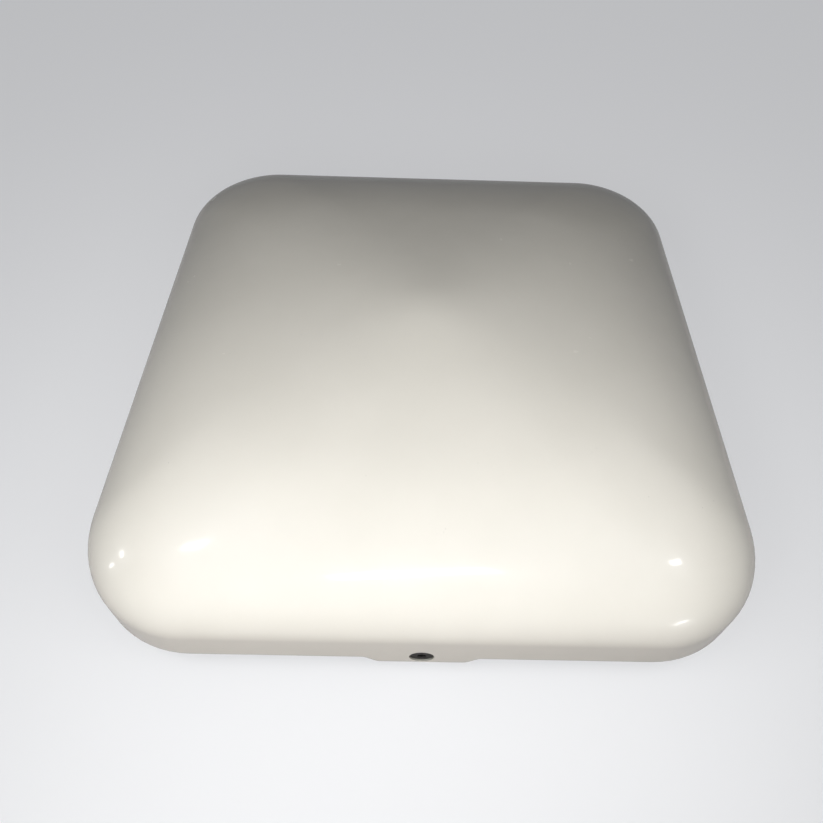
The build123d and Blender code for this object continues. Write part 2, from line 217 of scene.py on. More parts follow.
def cap_rings():
    """Rings of the cap from its crown, down the outside, round the rim and up the inside."""
    outside = [upper_ring(point, 0) for point in upper_points(roof_count=22, shoulder_count=40)]
    outside += [wall_ring(wall_levels(share), 0) for share in even(0, 1, OUTER_WALL_RINGS)[1:]]
    edge = []
    for angle in even(0, math.pi / 2, EDGE_RINGS)[1:]:
        edge.append(wall_ring(edge_levels(angle), rim_rounding * (1 - math.cos(angle))))
    for angle in even(math.pi / 2, 0, EDGE_RINGS):
        depth = wall_thickness - rim_rounding * (1 - math.cos(angle))
        edge.append(wall_ring(edge_levels(angle), depth))
    inside = []
    for share in even(1, 0, INNER_WALL_RINGS)[1:]:
        inside.append(wall_ring(wall_levels(share), wall_thickness, 1 - share))
    ceiling = [upper_ring(point, wall_thickness)
               for point in reversed(upper_points(roof_count=12, shoulder_count=20))]
    return outside, edge, inside + ceiling[1:]


def mesh_object(name, bm):
    """A new object from a bmesh, in the scene."""
    mesh = bpy.data.meshes.new(name)
    bm.to_mesh(mesh)
    bm.free()
    piece = bpy.data.objects.new(name, mesh)
    bpy.context.scene.collection.objects.link(piece)
    return piece


def closed_object(name, bm):
    """A new object from a bmesh of closed surfaces, whose normals are turned outwards."""
    bmesh.ops.recalc_face_normals(bm, faces=bm.faces)
    return mesh_object(name, bm)


def side_direction(turn):
    """The outward direction of a side: front, right, rear and left."""
    return Vector([(0, -1, 0), (1, 0, 0), (0, 1, 0), (-1, 0, 0)][turn])


def frame_at(place, across, out):
    """A frame at a place, with its X axis across and its Z axis out."""
    axes = Matrix((across, out.cross(across), out)).transposed().to_4x4()
    return Matrix.Translation(place) @ axes


def side_frame(turn, height):
    """A frame on the axis of a side's screw, its Z pointing out of the cap."""
    out = side_direction(turn)
    return frame_at((0, 0, height), Vector((-out.y, out.x, 0)), out)


def round_ring(radius, height, steps):
    """Points of a level circle."""
    angles = [2 * math.pi * step / steps for step in range(steps)]
    return [(radius * math.cos(angle), radius * math.sin(angle), height) for angle in angles]


def turned_rings(profile, steps):
    """Rings of a turned shape: profile points are (height, radius)."""
    return [round_ring(radius, height, steps if radius else 1) for height, radius in profile]


def skin(bm, rings, matrix):
    """Joins rings of points into a closed surface; a ring of one point closes it."""
    rows = [[bm.verts.new(matrix @ Vector(point)) for point in points] for points in rings]
    for first, second in zip(rows, rows[1:]):
        steps = max(len(first), len(second))
        for step in range(steps):
            after = (step + 1) % steps
            corners = (first[step % len(first)], first[after % len(first)],
                       second[after % len(second)], second[step % len(second)])
            corners = list(dict.fromkeys(corners))
            if len(corners) > 2:
                bm.faces.new(corners)


def cut_away(piece, cutters):
    """Takes cutters away from a piece and deletes them."""
    for cutter in cutters:
        boolean = piece.modifiers.new("cut", "BOOLEAN")
        boolean.object = cutter
        boolean.solver = "EXACT"
    depsgraph = bpy.context.evaluated_depsgraph_get()
    mesh = bpy.data.meshes.new_from_object(piece.evaluated_get(depsgraph))
    piece.modifiers.clear()
    piece.data = mesh
    for cutter in cutters:
        bpy.data.objects.remove(cutter)


def soften(piece):
    """Smooth shading with sharp edges where faces meet at an angle."""
    piece.data.shade_smooth()
    piece.data.set_sharp_from_angle(angle=SHARP_ANGLE)


# The cap's materials and their indices; the third, a darker laminate, paints shade into the screw
# recesses
CAP_SLOTS = ("gelcoat_white", "laminate_grey", "cut_laminate_painted_shade")
GELCOAT, LAMINATE, SHADED_CUT = range(3)


def cap_mesh():
    """The cap's surface, with gel-coat outside and laminate inside."""
    outside, edge, inside = cap_rings()
    bm = bmesh.new()
    rows = [[bm.verts.new(point) for point in points] for points in outside + edge + inside]
    middle = sum((Vector(point) for point in inside[-1]), Vector()) / COLUMNS
    crown = bm.verts.new((0, 0, crown_centre + crown_radius))
    ceiling = bm.verts.new((0, 0, middle.z))
    first_bare = len(outside) + len(edge) - 2
    for index in range(COLUMNS):
        after = (index + 1) % COLUMNS
        bm.faces.new((crown, rows[0][index], rows[0][after]))
        for row, (upper, lower) in enumerate(zip(rows, rows[1:])):
            face = bm.faces.new((upper[index], lower[index], lower[after], upper[after]))
            face.material_index = LAMINATE if row >= first_bare else GELCOAT
        face = bm.faces.new((ceiling, rows[-1][after], rows[-1][index]))
        face.material_index = LAMINATE
    return bm


# Screws: where their heads lie and how the lugs are recessed for them
CUTTER_STEPS = 64
screw_diameter = 0.006
screw_head = 0.012
screw_edge = 0.0006
head_clearance = 0.0002
shank_clearance = 0.0003
head_face = wall_face(wall_height - screw_rise - screw_head / 2)
screw_seat = head_face - screw_edge
recess_mouth = screw_head / 2 + head_clearance
recess_bore = screw_diameter / 2 + shank_clearance
recess_reach = 0.020
recess_overshoot = 0.004
recess_start = screw_seat - recess_reach
recess_end = cover_half + recess_overshoot
recess_margin = 0.0002
FACING_OUT = 0.9  # a face whose normal points out of the cap by more than this isn't a cut


def make_cap():
    """The cap, with its lugs bored and countersunk for the screws."""
    cap = closed_object("cover_skin", cap_mesh())
    dress(cap, *CAP_SLOTS)
    profile = [(recess_start, 0), (recess_start, recess_bore),
               (screw_seat - (recess_mouth - recess_bore), recess_bore), (screw_seat, recess_mouth),
               (recess_end, recess_mouth), (recess_end, 0)]
    cutters = []
    for turn in range(4):
        bm = bmesh.new()
        skin(bm, turned_rings(profile, CUTTER_STEPS), side_frame(turn, screw_level))
        cutters.append(closed_object("cutter", bm))
    cut_away(cap, cutters)
    show_cuts_shaded(cap)
    soften(cap)
    return cap


def show_cuts_shaded(cap):
    """Shows the laminate, which is under the gel-coat, on the faces cut for the screws. The
    laminate there is real, but its tone is darker than the inside's: that is painted shade in the
    recesses.
    """
    for face in cap.data.polygons:
        for turn in range(4):
            out = side_direction(turn)
            reach = face.center.dot(out)
            offset = face.center - out * reach - Vector((0, 0, screw_level))
            near = offset.length < recess_mouth + recess_margin and reach > recess_start
            if near and face.normal.dot(out) < FACING_OUT:
                face.material_index = SHADED_CUT


# Materials
MIDDLE = (0.3, 0.7)  # where most of a noise's values lie
STRANDS = ((0.3, 540), (1.2, 675), (2.1, 612), (2.8, 738))  # turn and fineness of each layer
STRAND_LENGTH = 22  # as a texture scale


class Nodes:
    """A short way to build the node tree of a material or a world."""

    def __init__(self, owner):
        owner.use_nodes = True
        self.tree = owner.node_tree

    def add(self, kind, **values):
        node = self.tree.nodes.new(kind)
        for key, value in values.items():
            setattr(node, key, value)
        return node

    def link(self, source, target):
        self.tree.links.new(source, target)

    def feed(self, target, value):
        if isinstance(value, bpy.types.NodeSocket):
            self.link(value, target)
        else:
            target.default_value = value

    def fill(self, node, **values):
        """Feeds inputs by name, with underscores for spaces."""
        for key, value in values.items():
            self.feed(node.inputs[key.replace("_", " ")], value)

    def span(self, value, low, high, to_low=0.0, to_high=1.0, shape="LINEAR"):
        node = self.add("ShaderNodeMapRange", clamp=True, interpolation_type=shape)
        self.fill(node, Value=value, From_Min=low, From_Max=high, To_Min=to_low, To_Max=to_high)
        return node.outputs["Result"]

    def math(self, operation, first, second):
        node = self.add("ShaderNodeMath", operation=operation)
        self.feed(node.inputs[0], first)
        self.feed(node.inputs[1], second)
        return node.outputs["Value"]

    def blend(self, first, second, weight):
        """A mean of two values in which the first has this weight."""
        return self.math("ADD", self.math("MULTIPLY", first, weight),
                         self.math("MULTIPLY", second, 1 - weight))

    def mix_colours(self, share, first, second):
        node = self.add("ShaderNodeMix", data_type="RGBA")
        self.feed(node.inputs[0], share)
        sockets = [socket for socket in node.inputs if socket.type == "RGBA"]
        for socket, colour in zip(sockets, (first, second)):
            self.feed(socket, (*colour, 1) if isinstance(colour, tuple) else colour)
        return [socket for socket in node.outputs if socket.type == "RGBA"][0]


class Finish(Nodes):
    """The node tree of a piece's material, with textures in the piece's own coordinates."""

    def __init__(self, name):
        self.material = bpy.data.materials.new(name)
        super().__init__(self.material)
        self.shader = self.tree.nodes["Principled BSDF"]
        self.place = self.add("ShaderNodeTexCoord").outputs["Object"]

    def set(self, **values):
        self.fill(self.shader, **values)

    def stretch(self, scale, turn=(0, 0, 0)):
        node = self.add("ShaderNodeMapping")
        self.fill(node, Vector=self.place, Scale=scale, Rotation=turn)
        return node.outputs["Vector"]

    def noise(self, scale, detail=2.0, rough=0.5, place=None):
        node = self.add("ShaderNodeTexNoise")
        self.fill(node, Vector=place or self.place, Scale=scale, Detail=detail, Roughness=rough)
        return node.outputs["Fac"]

    def cells(self, scale):
        node = self.add("ShaderNodeTexVoronoi")
        self.fill(node, Vector=self.place, Scale=scale)
        return node.outputs

    def bump(self, height, strength, distance, normal=None):
        node = self.add("ShaderNodeBump")
        self.fill(node, Strength=strength, Distance=distance, Height=height)
        if normal:
            self.link(normal, node.inputs["Normal"])
        return node.outputs["Normal"]


def gelcoat():
    """Warm white moulded gel-coat: glossy, slightly mottled and waved, with fine specks."""
    n = Finish("gelcoat_white")
    shaded, clean, speck_tone = (0.814, 0.786, 0.716), (0.850, 0.821, 0.752), (0.24, 0.22, 0.19)
    cloud = n.noise(scale=14, detail=3, rough=0.55)
    base = n.mix_colours(n.span(cloud, *MIDDLE), shaded, clean)
    dots = n.span(n.cells(330)["Distance"], 0.10, 0.05)
    speck = n.math("MULTIPLY", dots, n.span(n.noise(scale=75, detail=1), 0.66, 0.72))
    base = n.mix_colours(n.math("MULTIPLY", speck, 0.35), base, speck_tone)
    rough = n.span(n.noise(scale=40, detail=4, rough=0.6), 0.3, 0.75, 0.20, 0.28)
    ripple = n.bump(n.noise(scale=26), strength=0.25, distance=0.0012)
    normal = n.bump(n.noise(scale=520), strength=0.012, distance=0.0006, normal=ripple)
    n.set(Base_Color=base, Roughness=rough, Normal=normal, IOR=1.52)
    n.set(Coat_Weight=0.6, Coat_Roughness=0.06, Coat_Normal=normal)
    return n.material


def laminate(name, tone):
    """Rough inside of the moulding: resin over chopped glass strands."""
    n = Finish(name)
    strands = None
    for turn, fineness in STRANDS:
        place = n.stretch((STRAND_LENGTH, fineness, STRAND_LENGTH), (turn, turn * 1.7, turn))
        layer = n.span(n.noise(scale=1.0, place=place), 0.54, 0.66)
        strands = layer if strands is None else n.math("MAXIMUM", strands, layer)
    light = tuple(min(1.0, channel * 1.12) for channel in tone)
    dark = tuple(channel * 0.82 for channel in tone)
    cloud = n.noise(scale=25, detail=3, rough=0.6)
    base = n.mix_colours(n.span(cloud, *MIDDLE), dark, tone)
    base = n.mix_colours(n.math("MULTIPLY", strands, 0.6), base, light)
    grains = n.noise(scale=180, detail=3, rough=0.6)
    height = n.math("ADD", n.math("MULTIPLY", strands, 0.7), grains)
    n.set(Base_Color=base, Roughness=n.span(strands, 0, 1, 0.62, 0.42))
    n.set(Normal=n.bump(height, strength=0.5, distance=0.0006))
    return n.material


def metal(name, dark, light, rough, bump, grain=(8, 8, 8), spangle=None, tint=None):
    """A metal whose tone and roughness vary with its grain."""
    n = Finish(name)
    fine = n.noise(scale=20, detail=5, rough=0.65, place=n.stretch(grain))
    share = n.blend(fine, n.noise(scale=22, detail=3, rough=0.6), 0.6)
    if spangle:
        tone = n.add("ShaderNodeSeparateColor")
        n.fill(tone, Color=n.cells(spangle)["Color"])
        share = n.blend(share, tone.outputs[0], 0.45)
    base = n.mix_colours(n.span(share, 0.25, 0.75), dark, light)
    if tint:
        patches = n.span(n.noise(scale=34, detail=4, rough=0.6), 0.5, 0.75, 0, 0.6)
        base = n.mix_colours(patches, base, tint)
    smoothest, roughest = rough
    n.set(Base_Color=base, Metallic=1.0)
    n.set(Roughness=n.span(share, 0.25, 0.75, roughest, smoothest))
    n.set(Normal=n.bump(fine, strength=bump, distance=0.0003))
    return n.material


def black_oxide():
    """Blackened steel, worn a little brighter on its edges."""
    n = Finish("black_oxide_steel")
    dark, light, worn = (0.007, 0.007, 0.008), (0.016, 0.015, 0.015), (0.10, 0.095, 0.09)
    cloud = n.noise(scale=160, detail=4, rough=0.6)
    edge = n.add("ShaderNodeNewGeometry").outputs["Pointiness"]
    wear = n.math("MULTIPLY", n.span(edge, 0.52, 0.60), n.span(cloud, 0.35, 0.7))
    base = n.mix_colours(n.span(cloud, *MIDDLE), dark, light)
    base = n.mix_colours(n.math("MULTIPLY", wear, 0.5), base, worn)
    n.set(Base_Color=base, Roughness=n.span(cloud, *MIDDLE, 0.42, 0.58), Specular_IOR_Level=0.15)
    n.set(Normal=n.bump(n.noise(scale=900, detail=3, rough=0.6), strength=0.12, distance=0.0002))
    return n.material


def foam():
    """Black closed-cell foam rubber with fine pores."""
    n = Finish("foam_rubber")
    dark, light, pore_tone = (0.016, 0.016, 0.017), (0.035, 0.034, 0.034), (0.006, 0.006, 0.006)
    pores = n.cells(900)["Distance"]
    cloud = n.noise(scale=60, detail=3, rough=0.6)
    base = n.mix_colours(n.span(cloud, *MIDDLE), dark, light)
    base = n.mix_colours(n.span(pores, 0.25, 0.05, 0, 0.6), base, pore_tone)
    n.set(Base_Color=base, Roughness=n.span(cloud, *MIDDLE, 0.8, 0.94))
    n.set(Normal=n.bump(pores, strength=0.4, distance=0.0004))
    return n.material


def paste_filler():
    """Cured bonding paste: dull, smeared, a little grainy."""
    n = Finish("bonding_paste")
    cloud = n.noise(scale=90, detail=4, rough=0.6)
    base = n.mix_colours(n.span(cloud, *MIDDLE), (0.42, 0.42, 0.36), (0.56, 0.55, 0.47))
    n.set(Base_Color=base, Roughness=n.span(cloud, *MIDDLE, 0.45, 0.62))
    n.set(Normal=n.bump(n.noise(scale=420, detail=3, rough=0.6), strength=0.35, distance=0.0004))
    return n.material


# Metals: dark and light tone, least and most roughness, bump, and what else they differ in
METALS = {
    "zinc_steel": ((0.46, 0.47, 0.47), (0.62, 0.63, 0.61), (0.28, 0.42),
                   0.08, {"tint": (0.62, 0.58, 0.47)}),
    "galvanised_steel": ((0.36, 0.38, 0.40), (0.58, 0.60, 0.61), (0.36, 0.52),
                         0.10, {"spangle": 170}),
    "rivet_steel": ((0.42, 0.42, 0.42), (0.62, 0.62, 0.61), (0.26, 0.38), 0.06, {}),
    "mill_aluminium": ((0.60, 0.61, 0.62), (0.76, 0.77, 0.78), (0.28, 0.40),
                       0.08, {"grain": (1, 40, 40)}),
    "shield_aluminium": ((0.62, 0.62, 0.62), (0.80, 0.80, 0.80), (0.20, 0.34),
                         0.06, {"grain": (40, 1, 40), "tint": (0.66, 0.56, 0.40)}),
    "rivet_aluminium": ((0.62, 0.63, 0.64), (0.80, 0.81, 0.81), (0.22, 0.34), 0.05, {}),
}
MATERIALS = {
    "gelcoat_white": gelcoat(),
    "laminate_grey": laminate("laminate_grey", (0.52, 0.51, 0.46)),
    # The cut laminate is darker than the inside's: painted shade in the screw recesses.
    "cut_laminate_painted_shade": laminate("cut_laminate_painted_shade", (0.34, 0.33, 0.29)),
    "black_oxide_steel": black_oxide(),
    "foam_rubber": foam(),
    "bonding_paste": paste_filler(),
}
for name, (*values, others) in METALS.items():
    MATERIALS[name] = metal(name, *values, **others)


def dress(piece, *names):
    """Gives a new piece its materials."""
    for name in names:
        piece.data.materials.append(MATERIALS[name])


cap = make_cap()
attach(cap, "cover")
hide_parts("cover_shell")

slots = {part["node"]: part["material_slot"] for part in frame["record"]["subparts"]}
for node, piece in frame["nodes"].items():
    if node == "cover_shell":
        continue
    if piece.material_slots:
        for slot in piece.material_slots:
            slot.material = MATERIALS[slots[node]]
    else:
        dress(piece, slots[node])

# Fastenings: the screws, studs and rivets are made again with threads, sockets and domed heads,
# and beads of bonding paste are squeezed out round what is bonded in.
TURNED_STEPS = 48
RIVET_STEPS = 36
DRILL_STEPS = 32
DOME_RINGS = 8
THREAD_RINGS = 8  # for each turn
THREAD_DEPTH = 0.54  # as a share of the pitch
screw_length = 0.017
screw_pitch = 0.001
screw_neck = 0.0004
screw_point = 0.0007
head_rounding = 0.0002
socket_width = 0.0040
socket_depth = 0.0024
socket_cone = 0.0005
socket_chamfer = 0.0003
socket_mouth = 0.0026
bond_gap = 0.0003
stud_distance = 0.072
stud_base_depth = wall_thickness + bond_gap
stud_diameter = 0.005
stud_length = 0.022
stud_pitch = 0.0008
stud_point = 0.0006
stud_thread_start = 0.0025
stud_weld_radius = 0.0029
stud_weld_height = 0.0003
stud_base = 0.030
stud_base_thickness = 0.0015
stud_base_rounding = 0.0004
stud_base_lower_rounding = 0.0003
stud_base_hole = 0.005
stud_base_ring = 0.010
drill_start = -0.002
drill_end = 0.004
stem_share = 0.42  # of the shank's radius
stem_hollow = 0.0004
rivet_rounding = 0.0002
head_lip = 0.0001
dome_start = 0.15  # the angle at which a rivet's dome leaves its lip
lug_plate_half = 0.017
lug_plate_corner = 0.002
lug_plate_rise = 0.0015
lug_plate_bottom = rim_height - lug_drop + lug_plate_rise
lug_plate_height = 0.015


def stud_frame(turn, depth):
    """A frame under the middle line of a roof plane, at a depth below the outside, Z inwards."""
    out = side_direction(turn)
    inward = Vector((-out.x * math.sin(pitch), -out.y * math.sin(pitch), -math.cos(pitch)))
    surface = out * stud_distance + Vector((0, 0, roof_height(stud_distance)))
    return frame_at(surface + inward * depth, Vector((-out.y, out.x, 0)), inward)


def hexagon_ring(across_flats, height, steps):
    """Points of a level hexagon, evenly spaced in angle."""
    points = []
    for step in range(steps):
        angle = 2 * math.pi * step / steps
        radius = across_flats / 2 / math.cos((angle + math.pi / 6) % (math.pi / 3) - math.pi / 6)
        points.append((radius * math.cos(angle), radius * math.sin(angle), height))
    return points


def thread_rings(radius, start, end, thread_pitch):
    """Rings of a screw thread, from its start to its end along Z, running out at both."""
    count = round(abs(end - start) / thread_pitch * THREAD_RINGS)
    rings = []
    for along in even(start, end, count + 1):
        spare = min(abs(along - start), abs(end - along)) / thread_pitch
        depth = THREAD_DEPTH * thread_pitch * min(1.0, spare)
        points = []
        for step in range(TURNED_STEPS):
            share = (along / thread_pitch - step / TURNED_STEPS) % 1.0
            rise = max(0.0, min(1.0, 1.25 - 2.5 * abs(share - 0.5)))  # one on the thread's crest
            r = radius - depth * (1 - rise)
            angle = 2 * math.pi * step / TURNED_STEPS
            points.append((r * math.cos(angle), r * math.sin(angle), along))
        rings.append(points)
    return rings


def fixing_rings():
    """A countersunk socket screw along Z, its head's face at zero."""
    head = screw_head / 2
    radius = screw_diameter / 2
    under = screw_edge + head - radius
    rings = [[(0, 0, -socket_depth - socket_cone)],
             hexagon_ring(socket_width, -socket_depth, TURNED_STEPS),
             hexagon_ring(socket_width, -socket_chamfer, TURNED_STEPS)]
    rings += turned_rings([(0, socket_mouth), (0, head - head_rounding), (-head_rounding, head),
                           (-screw_edge, head), (-under, radius)], TURNED_STEPS)
    rings += thread_rings(radius, -under - screw_neck, screw_point - screw_length, screw_pitch)
    rings += turned_rings([(-screw_length, radius - screw_point), (-screw_length, 0)], TURNED_STEPS)
    return rings


def stud_rings():
    """A stud on its base, along Z from the base's upper face."""
    radius = stud_diameter / 2
    edge = stud_base / 2
    top = stud_base_thickness
    rounding = stud_base_rounding
    lower = stud_base_lower_rounding
    rings = turned_rings([(0, 0), (0, edge - lower), (lower, edge), (top - rounding, edge),
                          (top, edge - rounding), (top, stud_weld_radius),
                          (top + stud_weld_height, radius)], TURNED_STEPS)
    rings += thread_rings(radius, stud_thread_start, stud_length - stud_point, stud_pitch)
    rings += turned_rings([(stud_length, radius - stud_point), (stud_length, 0)], TURNED_STEPS)
    return rings


def rivet_rings(shank, head, height, grip):
    """A domed blind rivet along Z, its head's seat at zero, and its broken stem's hole."""
    stem = stem_share * shank
    flat = stem + stem_hollow
    profile = [(stem_hollow - grip, 0), (stem_hollow - grip, stem), (-grip, stem + rivet_rounding),
               (-grip, shank - rivet_rounding), (rivet_rounding - grip, shank), (0, shank),
               (0, head - head_lip)]
    for angle in even(dome_start, math.pi / 2, DOME_RINGS):
        profile.append((height * math.sin(angle), flat + (head - flat) * math.cos(angle)))
    profile += [(height - head_lip, stem), (height - stem_hollow - rivet_rounding, stem),
                (height - stem_hollow, stem / 2), (height - stem_hollow, 0)]
    return turned_rings(profile, RIVET_STEPS)


def fastening(name, node, rings, frames, body, holes=()):
    """Several like fastenings as one piece, in place of a CAD node."""
    bm = bmesh.new()
    for matrix in frames:
        skin(bm, rings, matrix)
    piece = closed_object(name, bm)
    if holes:
        radius = stud_base_hole / 2
        drill = turned_rings([(drill_start, 0), (drill_start, radius), (drill_end, radius),
                              (drill_end, 0)], DRILL_STEPS)
        bm = bmesh.new()
        for matrix in frames:
            for x, y in holes:
                skin(bm, drill, matrix @ Matrix.Translation((x, y, 0)))
        cut_away(piece, [closed_object("cutter", bm)])
    soften(piece)
    dress(piece, slots[node])
    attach(piece, body)
    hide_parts(node)


# Beads of paste
BEAD_STEPS = 12
BEAD_WAVES = ((5, 0.20, 1.0), (11, 0.12, 2.3), (23, 0.08, 1.7))  # count, height and shift
BASE_ROUTE_POINTS = 72
CORNER_POINTS = 7
plate_bead = 0.0010
base_bead = 0.0009
bead_flattening = 0.8
bead_rise = 0.0002  # of a bead's middle above the surface it lies on
base_bead_margin = 0.0004
route_step = 0.0008
PLATE_SEED = 1.0
BASE_SEED = 5.0


def bead(bm, route, radius, seed):
    """An uneven bead of paste along a closed route of points, on a surface with a normal."""
    points, normal = route
    count = len(points)
    rings = []
    for index, point in enumerate(points):
        across = (points[(index + 1) % count] - points[index - 1]).cross(normal).normalized()
        phase = 2 * math.pi * index / count
        swell = 1
        for waves, height, shift in BEAD_WAVES:
            swell += height * math.sin(waves * phase + shift * seed)
        ring = []
        for angle in even(0, 2 * math.pi, BEAD_STEPS + 1)[1:]:
            offset = across * math.cos(angle) + normal * (bead_flattening * math.sin(angle))
            ring.append(bm.verts.new(point + offset * radius * swell))
        rings.append(ring)
    for index in range(count):
        first, second = rings[index], rings[(index + 1) % count]
        for step in range(BEAD_STEPS):
            after = (step + 1) % BEAD_STEPS
            bm.faces.new((first[step], first[after], second[after], second[step]))


def plate_route(turn):
    """The route of the paste round a lug plate, on the wall's inner face."""
    matrix = side_frame(turn, 0).to_3x3()
    middle = lug_plate_bottom + lug_plate_height / 2
    corner = lug_plate_corner
    half = lug_plate_half + bond_gap - corner
    rise = lug_plate_height / 2 + bond_gap - corner
    corners = []
    for sx, sy, first in ((1, 1, 0), (-1, 1, 90), (-1, -1, 180), (1, -1, 270)):
        for angle in even(first, first + 90, CORNER_POINTS):
            a = math.radians(angle)
            corners.append((sx * half + corner * math.cos(a), sy * rise + corner * math.sin(a)))
    points = []
    for (x, y), (next_x, next_y) in zip(corners, corners[1:] + corners[:1]):
        steps = max(1, round(math.hypot(next_x - x, next_y - y) / route_step))
        for step in range(steps):
            across = x + (next_x - x) * step / steps
            z = middle + y + (next_y - y) * step / steps
            out = wall_face(wall_top - z) - wall_thickness * math.cos(draft) - bead_rise
            points.append(matrix @ Vector((across, 0, out)) + Vector((0, 0, z)))
    return points, matrix @ Vector((0, 0, -1))


def base_route(turn):
    """The route of the paste round a stud's base, under the roof."""
    matrix = stud_frame(turn, wall_thickness + bead_rise)
    circle = round_ring(stud_base / 2 + base_bead_margin, 0, BASE_ROUTE_POINTS)
    return [matrix @ Vector(point) for point in circle], matrix.to_3x3() @ Vector((0, 0, 1))


def make_paste():
    """The paste that holds the lug plates and the studs' bases."""
    bm = bmesh.new()
    for turn in range(4):
        bead(bm, plate_route(turn), plate_bead, PLATE_SEED + turn)
        bead(bm, base_route(turn), base_bead, BASE_SEED + turn)
    paste = closed_object("bonding_paste", bm)
    soften(paste)
    dress(paste, "bonding_paste")
    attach(paste, "cover")


def upright_frames(row, half, height):
    """Upright frames at two places on each side: the row's distance, half the spacing, height."""
    frames = []
    for turn in range(4):
        for x in (-half, half):
            place = Matrix.Rotation(turn * math.pi / 2, 4, "Z") @ Vector((x, -row, height))
            frames.append(Matrix.Translation(place))
    return frames


# Rivets: the radii of shank and head, the head's height and the grip, then the distance of their
# row from the centre, half their spacing and the height of their seat
RIVETS = {
    "bracket_rivets": ((0.0020, 0.0040, 0.0016, 0.0045), (0.1404, 0.0065, 0.0085)),
    "guard_rivets": ((0.0016, 0.0032, 0.0013, 0.0032), (0.1189, 0.0750, 0.0072)),
}
screw_frames = [side_frame(turn, screw_level) @ Matrix.Translation((0, 0, head_face))
                for turn in range(4)]
stud_frames = [stud_frame(turn, stud_base_depth) for turn in range(4)]
base_holes = [(x, y) for x, y, _ in round_ring(stud_base_ring, 0, 3)]
fastening("screws_threaded", "fixing_screws", fixing_rings(), screw_frames, "cover")
fastening("studs_threaded", "shield_studs", stud_rings(), stud_frames, "cover", base_holes)
for node, (sizes, places) in RIVETS.items():
    fastening(node + "_domed", node, rivet_rings(*sizes), upright_frames(*places), "mounting_frame")
make_paste()

# Floor, light and camera
FLOOR_BOUNCE = (0.19, 0.145, 0.115)
FLOOR_SEEN = (0.42, 0.42, 0.42)
FLOOR_GLOW_TONE = (0.96, 0.97, 1.0, 1)
SKY_TONE = (0.98, 0.99, 1.0, 1)
FLOOR_SEGMENTS = 96
floor_glow = 0.5
floor_mirrored = 0.5  # the share of what the camera sees that mirrors see
floor_radius = 6
floor_drop = 0.0002
sky_mirrored = 0.4
horizon_glow = 0.62
upper_glow = 0.06
glow_fall = 0.5  # the sine of the elevation from which the world has its upper glow
room_glow = 0.02


def seen_rays(n, mirrored):
    """One for the camera's rays, a share for those of mirrors and glass, zero for light's own."""
    rays = n.add("ShaderNodeLightPath").outputs
    either = n.math("MAXIMUM", rays["Is Glossy Ray"], rays["Is Transmission Ray"])
    return n.math("MAXIMUM", rays["Is Camera Ray"], n.math("MULTIPLY", either, mirrored))


def floor_material():
    """A pale floor: it glows a little for the camera and for mirrors and hardly lights the part.
    It is clear from below and to the lamps' own rays, so that the lamps under it light the part."""
    material = bpy.data.materials.new("floor")
    n = Nodes(material)
    shader = n.tree.nodes["Principled BSDF"]
    seen = seen_rays(n, floor_mirrored)
    n.fill(shader, Roughness=0.9, Specular_IOR_Level=0.0, Emission_Color=FLOOR_GLOW_TONE,
           Base_Color=n.mix_colours(seen, FLOOR_BOUNCE, FLOOR_SEEN),
           Emission_Strength=n.math("MULTIPLY", seen, floor_glow))
    behind = n.add("ShaderNodeNewGeometry").outputs["Backfacing"]
    shadow = n.add("ShaderNodeLightPath").outputs["Is Shadow Ray"]
    sides = n.add("ShaderNodeMixShader")
    n.link(n.math("MAXIMUM", behind, shadow), sides.inputs[0])
    n.link(shader.outputs["BSDF"], sides.inputs[1])
    n.link(n.add("ShaderNodeBsdfTransparent").outputs["BSDF"], sides.inputs[2])
    n.link(sides.outputs["Shader"], n.tree.nodes["Material Output"].inputs["Surface"])
    return material


def make_world():
    """A dim room that glows near the horizon for the camera and, less, for mirrors."""
    world = bpy.data.worlds.new("studio")
    bpy.context.scene.world = world
    n = Nodes(world)
    axes = n.add("ShaderNodeSeparateXYZ")
    n.fill(axes, Vector=n.add("ShaderNodeTexCoord").outputs["Generated"])
    glow = n.span(axes.outputs["Z"], 0, glow_fall, horizon_glow, upper_glow, "SMOOTHSTEP")
    shown = n.math("MULTIPLY", glow, seen_rays(n, sky_mirrored))
    n.fill(n.tree.nodes["Background"], Color=SKY_TONE,
           Strength=n.math("ADD", shown, room_glow))


bm = bmesh.new()
bmesh.ops.create_circle(bm, cap_ends=True, segments=FLOOR_SEGMENTS, radius=floor_radius)
floor = mesh_object("floor", bm)
floor.location = (0, 0, -floor_drop)
floor.data.materials.append(floor_material())
make_world()

# Soft boxes: name, azimuth, elevation, distance and watts. They light the part without mirroring
# in it, as the real, far softer light of a room does. Those below the horizon shine through the
# floor, as the light that a pale floor throws back.
SOFT_BOXES = [
    ("low_box", -15, 28, 0.50, 0.508),
    ("left_key_box", -30, 45, 0.38, 0.298),
    ("right_key_box", 30, 45, 0.38, 0.490),
    ("left_box", -45, 50, 0.50, 0.390),
    ("top_box", 0, 68, 0.60, 0.150),
    ("rear_box", 180, -25, 0.60, 0.36),
    ("rear_right_box", 135, -25, 0.60, 0.44),
    ("rear_left_box", -135, -25, 0.60, 0.44),
    ("far_rear_box", 180, -12, 1.00, 0.45),
    ("far_rear_right_box", 135, -12, 1.00, 0.50),
    ("far_rear_left_box", -135, -12, 1.00, 0.50),
    ("right_low_box", 75, -22, 0.60, 0.42),
    ("left_low_box", -75, -22, 0.60, 0.42),
]
box_width = 0.25
box_height = 0.20

